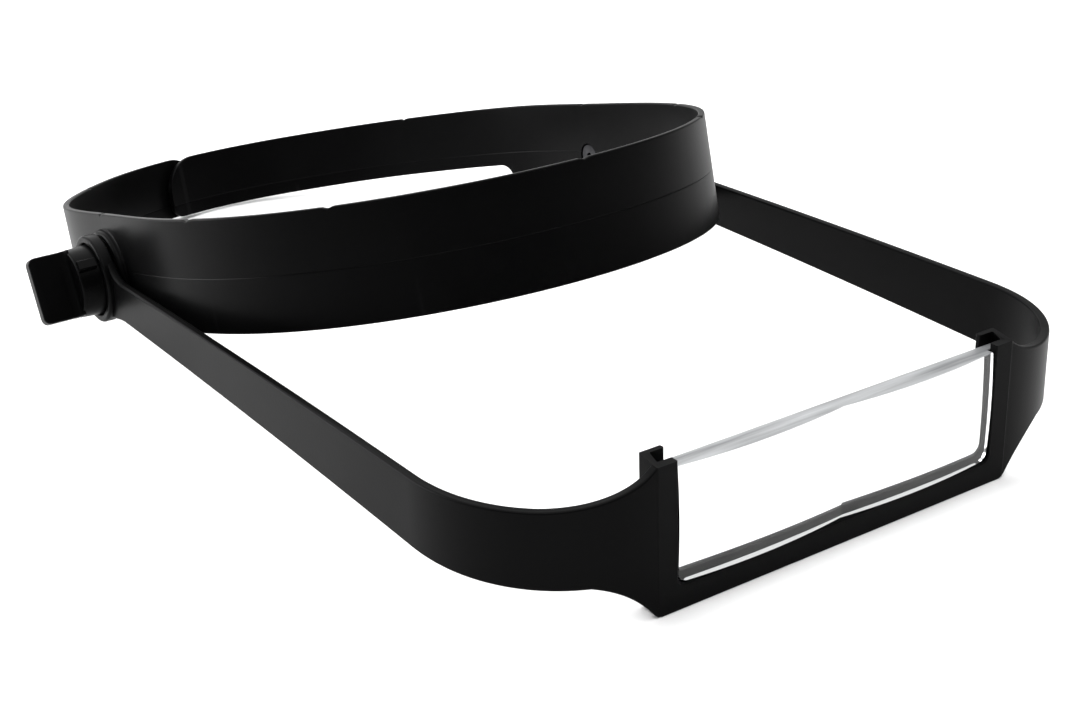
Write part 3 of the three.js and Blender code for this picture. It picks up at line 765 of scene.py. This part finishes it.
def lens_plate(clear, sawn):
    """The moulded plate, polished all over except along its top edge."""
    past_the_bulge = 9
    window = upright_outline(BODY_HALF, BODY_BOTTOM, PLATE_TOP + 1, BODY_CORNER)
    block = upright_plate(window, BODY_FRONT - past_the_bulge, PLATE_BACK + 1)
    body = boolean(lens_body(), block, "INTERSECT")
    rim_outline = upright_outline(RIM_HALF, RIM_BOTTOM, PLATE_TOP, RIM_CORNER)
    mesh = boolean(body, upright_plate(rim_outline, RIM_FRONT, PLATE_BACK), "UNION")
    nearly_top = PLATE_TOP - 1e-4
    top_edges = [edge for edge in mesh.edges if all(vert.co.z > nearly_top for vert in edge.verts)
                 and edge.calc_face_angle(0) > math.radians(45)]
    bmesh.ops.bevel(mesh, geom=top_edges, offset=LENS_BEVEL, segments=2, affect="EDGES",
                    clamp_overlap=True)
    plate = finished("lens_plate_acrylic", mesh, VISOR, "lens", "lens_plate", clear, sharp=9)
    plate.data.materials.append(sawn)
    for face in plate.data.polygons:
        if face.normal.dot(LENS_UP) > 0.99 and face.center.z > PIVOT.z:
            face.material_index = 1


# ---------------------------------------------------------------- pivots

def pivot_bolt(word, side, material):
    """A countersunk head with a hexagon socket, a plain shank, and a thread where the nut sits."""
    chamfer = 0.15
    profile = [(BOLT_HEAD_RADIUS - chamfer, BOLT_HEAD_TOP)]
    profile += countersunk(BOLT_HEAD_RADIUS, BOLT_RADIUS, BOLT_HEAD_TOP + chamfer)
    profile.append((BOLT_RADIUS, THREAD_START))
    rings = [circle(radius, height, THREAD_SIDES) for radius, height in profile]
    rings += thread_rings(THREAD_START, BOLT_TIP)
    across_corners = SOCKET_ACROSS_FLATS / math.sqrt(3)
    reach = (BOLT_HEAD_TOP - 1, BOLT_HEAD_TOP + SOCKET_DEPTH)
    socket = loft([circle(across_corners, height, 6) for height in reach])
    mesh = boolean(loft(rings), socket, "DIFFERENCE")
    name = "pivot_bolt_" + word
    finished(name + "_steel", mesh, side_place(side), "head_band", name, material)


def thread_rings(start, end):
    """Rings of a screw thread: each point's radius follows a helix, and the tip is chamfered."""
    rings = []
    heights = steps_between(start, end, round((end - start) / THREAD_PITCH * THREAD_RINGS))
    for height in heights[1:]:
        ring = []
        chamfer = max(0.0, height - end + THREAD_CHAMFER)
        for i in range(THREAD_SIDES):
            turn = i / THREAD_SIDES
            wave = abs(((height - start) / THREAD_PITCH - turn) % 1.0 - 0.5) * 2
            depth = THREAD_DEPTH * wave * min(1.0, (height - start) / THREAD_PITCH)
            radius = min(BOLT_RADIUS - depth, BOLT_RADIUS - chamfer)
            angle = 2 * math.pi * turn
            ring.append(Vector((radius * math.cos(angle), radius * math.sin(angle), height)))
        rings.append(ring)
    return rings


def flat_ring(inner, outer, span, edge):
    return rounded_rectangle((inner, span[0]), (outer, span[1]), edge)


def washers(word, side, fibre, steel):
    place = side_place(side)
    outline = flat_ring(WASHER_HOLE, WASHER_RADIUS, FRICTION_WASHER, FRICTION_WASHER_EDGE)
    name = "friction_washer_" + word
    finished(name + "_fibre", turned_ring(outline), place, "head_band", name, fibre)
    outline = flat_ring(WASHER_HOLE, WASHER_RADIUS, FLAT_WASHER, FLAT_WASHER_EDGE)
    name = "flat_washer_" + word
    finished(name + "_steel", turned_ring(outline), place, "head_band", name, steel)
    angles = steps_between(SPRING_GAP / 2, 2 * math.pi - SPRING_GAP / 2, ROUND_STEPS)
    outline = flat_ring(WASHER_HOLE, SPRING_WASHER_RADIUS, SPRING_WASHER, SPRING_WASHER_EDGE)
    spring = turned_ring(outline, angles=angles)
    for vert in spring.verts:
        turn = (math.atan2(vert.co.y, vert.co.x) % (2 * math.pi)) / (2 * math.pi)
        vert.co.z += SPRING_PITCH * (turn - 0.5)
    name = "spring_washer_" + word
    finished(name + "_steel", spring, place, "head_band", name, steel)


def knob_insert(word, side, material):
    """A hexagon nut with chamfered corners and a bored hole."""
    flat = INSERT_ACROSS_FLATS / 2
    hair = 0.01              # keeps the points apart where the corner is no wider than the flat
    rings = []
    for i in range(ROUND_STEPS):
        angle = 2 * math.pi * i / ROUND_STEPS
        corner = hexagon_radius(angle)
        shoulder = max(0.0, (corner - flat) * INSERT_CORNER_SLOPE) + hair
        outline = [
            (BOLT_HOLE, INSERT[0] + INSERT_CHAMFER),
            (BOLT_HOLE + INSERT_CHAMFER, INSERT[0]),
            (flat, INSERT[0]),
            (corner, INSERT[0] + shoulder),
            (corner, INSERT[1] - shoulder),
            (flat, INSERT[1]),
            (BOLT_HOLE + INSERT_CHAMFER, INSERT[1]),
            (BOLT_HOLE, INSERT[1] - INSERT_CHAMFER),
        ]
        rings.append([Vector((r * math.cos(angle), r * math.sin(angle), z)) for r, z in outline])
    name = "knob_insert_" + word
    place = side_place(side, PADDLE_TURN)
    finished(name + "_nut", loft(rings, closed=True), place, "knob_" + word, name, material)


def hexagon_radius(angle):
    """Distance from the middle of the nut to its side, with a corner at angle 0."""
    return (INSERT_ACROSS_FLATS / 2) / math.cos((angle % (math.pi / 3)) - math.pi / 6)


def knob_hub():
    """A slightly tapered drum with a rounded outer edge."""
    profile = [(HUB_RADIUS - HUB_EDGE, HUB[0]), (HUB_RADIUS, HUB[0] + HUB_EDGE)]
    profile += [(HUB_END_RADIUS - HUB_EDGE * near, HUB[1] - HUB_EDGE * (1 - far))
                for far, near in quarter()]
    return turned(profile)


def knob_paddle():
    """A flat wing that flows out of the hub over a fillet and ends in rounded corners."""
    root = HUB[1] - HUB_EDGE
    heights = [root] + [HUB[1] + PADDLE_FILLET * near for _far, near in quarter(PADDLE_STEPS)]
    heights += [PADDLE_END - PADDLE_CORNER * (1 - far) for far, _near in quarter(PADDLE_STEPS)]
    rings = []
    for height in heights:
        foot = corner_drop(max(height - HUB[1], 0.0), PADDLE_FILLET)
        end = corner_drop(PADDLE_END - height, PADDLE_CORNER)
        half_width = PADDLE_HALF_WIDTH - end
        half_thickness = PADDLE_HALF_THICKNESS + foot - end * PADDLE_TAPER
        low = (-half_width, -half_thickness)
        outline = rounded_rectangle(low, (half_width, half_thickness), PADDLE_EDGE)
        rings.append([Vector((x, y, height)) for x, y in outline])
    return loft(rings)


def index_rib():
    """A small raised bar on the hub's side."""
    low = (HUB_END_RADIUS - 1, -INDEX_RIB_HALF)
    high = (HUB_RADIUS + INDEX_RIB_HEIGHT, INDEX_RIB_HALF)
    outline = rounded_rectangle(low, high, INDEX_RIB_EDGE)
    reach = (INDEX_RIB_START, HUB[1] - GAP)
    rib = loft([[Vector((x, y, height)) for x, y in outline] for height in reach])
    rib.transform(Matrix.Rotation(INDEX_RIB_TURN, 4, "Z"))
    return rib


def knob_pocket():
    """The room inside the knob for the washers, the nut and the bolt's tip."""
    washer_room = turned([(WASHER_RADIUS + GAP, HUB[0] - 1), (WASHER_RADIUS + GAP, FLAT_WASHER[1] + GAP)])
    spring_room = turned([(SPRING_WASHER_RADIUS + GAP, HUB[0]), (SPRING_WASHER_RADIUS + GAP, INSERT[0])])
    across_corners = (INSERT_ACROSS_FLATS + 2 * GAP) / math.sqrt(3)
    nut_room = loft([circle(across_corners, height, 6) for height in (SPRING_WASHER[1], INSERT[1] + GAP)])
    bolt_room = turned([(BOLT_HOLE + GAP, INSERT[0]), (BOLT_HOLE + GAP, BOLT_TIP + GAP)])
    pocket = washer_room
    for room in (spring_room, nut_room, bolt_room):
        pocket = boolean(pocket, room, "UNION")
    return pocket


def thumb_knob(word, side, material):
    mesh = boolean(knob_hub(), knob_paddle(), "UNION")
    mesh = boolean(mesh, index_rib(), "UNION")
    mesh = boolean(mesh, knob_pocket(), "DIFFERENCE")
    name = "thumb_knob_" + word
    place = side_place(side, PADDLE_TURN)
    finished(name + "_moulding", mesh, place, "knob_" + word, name, material)


# ---------------------------------------------------------------- materials

class Shader:
    """A procedural material under construction, its patterns in metres of the object's own space."""

    def __init__(self, name, settings):
        self.material = bpy.data.materials.new(name)
        self.material.use_nodes = True
        self.tree = self.material.node_tree
        self.surface = self.tree.nodes["Principled BSDF"]
        for socket, value in settings.items():
            self.surface.inputs[socket].default_value = value
        self.place = self.node("ShaderNodeTexCoord").outputs["Object"]
        self.normal = None

    def node(self, kind, **settings):
        made = self.tree.nodes.new(kind)
        for key, value in settings.items():
            setattr(made, key, value)
        return made

    def join(self, output, socket):
        self.tree.links.new(output, socket)

    def stretched(self, scale):
        mapping = self.node("ShaderNodeMapping")
        mapping.inputs["Scale"].default_value = scale
        self.join(self.place, mapping.inputs["Vector"])
        return mapping.outputs["Vector"]

    def noise(self, scale, detail=2.0, roughness=0.5, place=None):
        noise = self.node("ShaderNodeTexNoise")
        noise.inputs["Scale"].default_value = scale
        noise.inputs["Detail"].default_value = detail
        noise.inputs["Roughness"].default_value = roughness
        self.join(place or self.place, noise.inputs["Vector"])
        return noise.outputs["Fac"]

    def waves(self, scale, direction, distortion=0.0):
        wave = self.node("ShaderNodeTexWave", bands_direction=direction)
        wave.inputs["Scale"].default_value = scale
        wave.inputs["Distortion"].default_value = distortion
        self.join(self.place, wave.inputs["Vector"])
        return wave.outputs["Fac"]

    def graded(self, source, low, high, from_low=0.3, from_high=0.7):
        """A value that runs from low to high as source does between its two limits."""
        grade = self.node("ShaderNodeMapRange")
        limits = {"From Min": from_low, "From Max": from_high, "To Min": low, "To Max": high}
        for socket, value in limits.items():
            grade.inputs[socket].default_value = value
        self.join(source, grade.inputs["Value"])
        return grade.outputs["Result"]

    def combined(self, operation, first, second):
        maths = self.node("ShaderNodeMath", operation=operation)
        for socket, value in zip(maths.inputs, (first, second)):
            if isinstance(value, float):
                socket.default_value = value
            else:
                self.join(value, socket)
        return maths.outputs["Value"]

    def mixed(self, share, first, second):
        mix = self.node("ShaderNodeMix", data_type="RGBA")
        self.join(share, mix.inputs["Factor"])
        for socket, value in zip((mix.inputs["A"], mix.inputs["B"]), (first, second)):
            colours = [s for s in mix.inputs if s.type == "RGBA" and s.name == socket.name][0]
            if isinstance(value, tuple):
                colours.default_value = (*value, 1.0)
            else:
                self.join(value, colours)
        return [s for s in mix.outputs if s.type == "RGBA"][0]

    def colour(self, output):
        self.join(output, self.surface.inputs["Base Color"])

    def rough(self, output):
        self.join(output, self.surface.inputs["Roughness"])

    def bump(self, height, depth, strength=1.0):
        """Adds a relief of that depth, in millimetres, on top of the ones before."""
        bump = self.node("ShaderNodeBump")
        bump.inputs["Strength"].default_value = strength
        bump.inputs["Distance"].default_value = depth * MM
        self.join(height, bump.inputs["Height"])
        if self.normal:
            self.join(self.normal, bump.inputs["Normal"])
        self.normal = bump.outputs["Normal"]
        self.join(self.normal, self.surface.inputs["Normal"])


def moulded_plastic(name, dark, light, roughness, grain):
    """Satin black moulding: fine spark-eroded grain, slow changes of gloss, and a painted highlight that
    makes convex edges paler.
    """
    shader = Shader(name, {"IOR": 1.46, "Specular IOR Level": 0.04})
    cloud = shader.noise(28.0, 3.0)
    edges = shader.node("ShaderNodeNewGeometry").outputs["Pointiness"]
    # Painted highlight: convex edges (by pointiness) get up to half of three times the lighter colour,
    # standing in for light caught on the rims
    painted_edge_highlight = shader.graded(edges, 0.0, 0.5, 0.53, 0.62)
    base = shader.mixed(shader.graded(cloud, 0.0, 1.0), dark, light)
    shader.colour(shader.mixed(painted_edge_highlight, base, tuple(min(1.0, 3.0 * value) for value in light)))
    handled = shader.noise(7.0, 2.0)
    gloss = shader.graded(handled, roughness - 0.05, roughness + 0.07)
    shader.rough(shader.combined("ADD", gloss, shader.graded(cloud, -0.02, 0.03)))
    shader.bump(shader.noise(1500.0, 3.0, 0.6), grain)
    shader.bump(shader.noise(60.0, 1.0), 0.05)
    return shader.material


def turned_metal(name, dark, light, roughness):
    """Plated or turned metal with fine tool marks and slight tarnish."""
    shader = Shader(name, {"Metallic": 1.0})
    cloud = shader.noise(160.0, 4.0)
    shader.colour(shader.mixed(shader.graded(cloud, 0.0, 1.0), dark, light))
    shader.rough(shader.graded(cloud, roughness - 0.06, roughness + 0.1))
    shader.bump(shader.noise(900.0, 2.0, 0.5, shader.stretched((6.0, 1.0, 1.0))), 0.02)
    return shader.material


def foam_cover():
    """Knitted cover over foam: rows of stitches with a soft nap."""
    shader = Shader("foam_cover", {"Roughness": 0.9, "Sheen Weight": 0.35, "Sheen Roughness": 0.5})
    rows = shader.waves(330.0, "Z", 0.6)
    loops = shader.waves(260.0, "X", 0.6)
    knit = shader.combined("MULTIPLY", rows, loops)
    cloud = shader.noise(90.0, 3.0)
    knitted = shader.mixed(knit, (0.028, 0.029, 0.031), (0.075, 0.077, 0.081))
    shader.colour(shader.mixed(shader.graded(cloud, 0.0, 0.4), knitted, (0.05, 0.051, 0.054)))
    shader.bump(knit, 0.25, 0.8)
    shader.bump(shader.noise(2600.0, 2.0), 0.08)
    return shader.material


def hook_tape():
    """Dense black loops and hooks."""
    shader = Shader("hook_tape", {"Roughness": 0.95, "Sheen Weight": 0.5, "Sheen Roughness": 0.4})
    pile = shader.noise(2200.0, 4.0, 0.7)
    shader.colour(shader.mixed(shader.graded(pile, 0.0, 1.0), (0.004, 0.004, 0.0045), (0.03, 0.03, 0.032)))
    shader.bump(pile, 0.35)
    return shader.material


def pressed_fibre():
    shader = Shader("pressed_fibre", {"Roughness": 0.8})
    fibres = shader.noise(700.0, 5.0, 0.7, shader.stretched((1.0, 3.0, 1.0)))
    shader.colour(shader.mixed(shader.graded(fibres, 0.0, 1.0), (0.09, 0.04, 0.018), (0.2, 0.1, 0.05)))
    shader.bump(fibres, 0.05)
    return shader.material


def clear_acrylic():
    """Polished acrylic: clear, with hairline scratches and a breath of haze."""
    shader = Shader("clear_acrylic", {
        "Base Color": (0.965, 0.97, 0.972, 1.0), "Transmission Weight": 1.0, "IOR": 1.49,
    })
    haze = shader.noise(45.0, 3.0)
    shader.rough(shader.graded(haze, 0.0, 0.03))
    scratches = shader.noise(900.0, 1.0, 0.5, shader.stretched((0.05, 1.0, 1.0)))
    shader.bump(shader.graded(scratches, 0.0, 1.0, 0.72, 0.74), 0.002)
    return shader.material


def sawn_acrylic():
    """The plate's top edge: cut and scraped, so it is a cloudy grey, with streaks along its length."""
    shader = Shader("sawn_acrylic", {"Transmission Weight": 0.35, "IOR": 1.49, "Roughness": 0.35})
    streaks = shader.noise(420.0, 3.0, 0.6, shader.stretched((0.06, 1.0, 1.0)))
    shader.colour(shader.mixed(shader.graded(streaks, 0.0, 1.0), (0.14, 0.145, 0.15), (0.46, 0.47, 0.48)))
    shader.bump(streaks, 0.03)
    return shader.material


# ---------------------------------------------------------------- stage

CAMERA_TARGET = Vector((-0.0078, -0.0556, 0.0119))
CAMERA_DISTANCE = 0.454
CAMERA_AZIMUTH = math.radians(-32.57)
CAMERA_ELEVATION = math.radians(22.79)
CAMERA_ROLL = math.radians(-3.33)
CAMERA_LENS = 60.39
CAMERA_SENSOR = 36
LIGHTS = {                   # azimuth and elevation in degrees, distance and size in metres, watts
    "overhead": (0, 88, 1.4, 2.6, 54),
    "left_back": (-130, 14, 1.4, 0.9, 22),
    "behind": (175, 28, 1.5, 1.0, 6),
}
BACKDROP = {"From Min": -1.0, "From Max": 0.6, "To Min": 0.1, "To Max": 0.8}   # brighter towards +Y
FLOOR_HALF = 4.0


def camera():
    turn = Matrix.Rotation(CAMERA_AZIMUTH, 4, "Z") @ Matrix.Rotation(math.pi / 2 - CAMERA_ELEVATION, 4, "X")
    aim = Matrix.Translation(CAMERA_TARGET) @ turn @ Matrix.Rotation(CAMERA_ROLL, 4, "Z")
    data = bpy.data.cameras.new("camera")
    data.lens = CAMERA_LENS
    data.sensor_width = CAMERA_SENSOR
    obj = bpy.data.objects.new("camera", data)
    obj.matrix_world = aim @ Matrix.Translation((0, 0, CAMERA_DISTANCE))
    bpy.context.scene.collection.objects.link(obj)
    bpy.context.scene.camera = obj


def area_light(name, azimuth, elevation, distance, size, power):
    """A soft square light that faces the object."""
    around = Matrix.Rotation(math.radians(azimuth), 4, "Z")
    tilt = Matrix.Rotation(math.radians(90 - elevation), 4, "X")
    data = bpy.data.lights.new(name, "AREA")
    data.size = size
    data.energy = power
    obj = bpy.data.objects.new(name, data)
    obj.matrix_world = around @ tilt @ Matrix.Translation((0, 0, distance))
    bpy.context.scene.collection.objects.link(obj)


def floor():
    shader = Shader("pale_floor", {"Roughness": 0.9, "Specular IOR Level": 0.1})
    shader.colour(shader.mixed(shader.noise(3.0, 2.0), (0.86, 0.86, 0.86), (0.9, 0.9, 0.9)))
    mesh = bmesh.new()
    bmesh.ops.create_grid(mesh, x_segments=2, y_segments=2, size=FLOOR_HALF)
    obj = linked("floor", mesh)
    obj.data.materials.append(shader.material)


def studio():
    world = bpy.data.worlds.new("studio")
    world.use_nodes = True
    tree = world.node_tree
    background = tree.nodes["Background"]
    place = tree.nodes.new("ShaderNodeTexCoord")
    parts = tree.nodes.new("ShaderNodeSeparateXYZ")
    strength = tree.nodes.new("ShaderNodeMapRange")
    for socket, value in BACKDROP.items():
        strength.inputs[socket].default_value = value
    tree.links.new(place.outputs["Generated"], parts.inputs["Vector"])
    tree.links.new(parts.outputs["Y"], strength.inputs["Value"])
    tree.links.new(strength.outputs["Result"], background.inputs["Strength"])
    background.inputs["Color"].default_value = (1, 1, 1, 1)
    bpy.context.scene.world = world
    bpy.context.scene.view_settings.view_transform = "Standard"
    for name, settings in LIGHTS.items():
        area_light(name, *settings)


# ---------------------------------------------------------------- everything

camera()
floor()
studio()

black = moulded_plastic("black_plastic", (0.0008, 0.0008, 0.0009), (0.0018, 0.0018, 0.0019), 0.34, 0.012)
knob_black = moulded_plastic("knob_plastic", (0.0006, 0.0006, 0.0007), (0.0014, 0.0014, 0.0015), 0.3, 0.008)
steel_finish = turned_metal("plated_steel", (0.5, 0.51, 0.52), (0.66, 0.67, 0.69), 0.3)
blackened_finish = turned_metal("blackened_steel", (0.018, 0.018, 0.02), (0.05, 0.05, 0.053), 0.38)
brass_finish = turned_metal("turned_brass", (0.55, 0.38, 0.13), (0.72, 0.53, 0.22), 0.3)
tape_finish = hook_tape()
fibre_finish = pressed_fibre()

head_band(black)
forehead_pad(foam_cover())
tape_patch("hook_patch", TONGUE_WALL + PATCH_GAP, tape_finish)
tape_patch("loop_patch", INNER_TAIL_INSET - PATCH_GAP - PATCH_WALL, tape_finish)
visor_frame(black)
lens_plate(clear_acrylic(), sawn_acrylic())
for word, side in SIDES.items():
    pivot_bolt(word, side, blackened_finish)
    washers(word, side, fibre_finish, steel_finish)
    knob_insert(word, side, brass_finish)
    thumb_knob(word, side, knob_black)
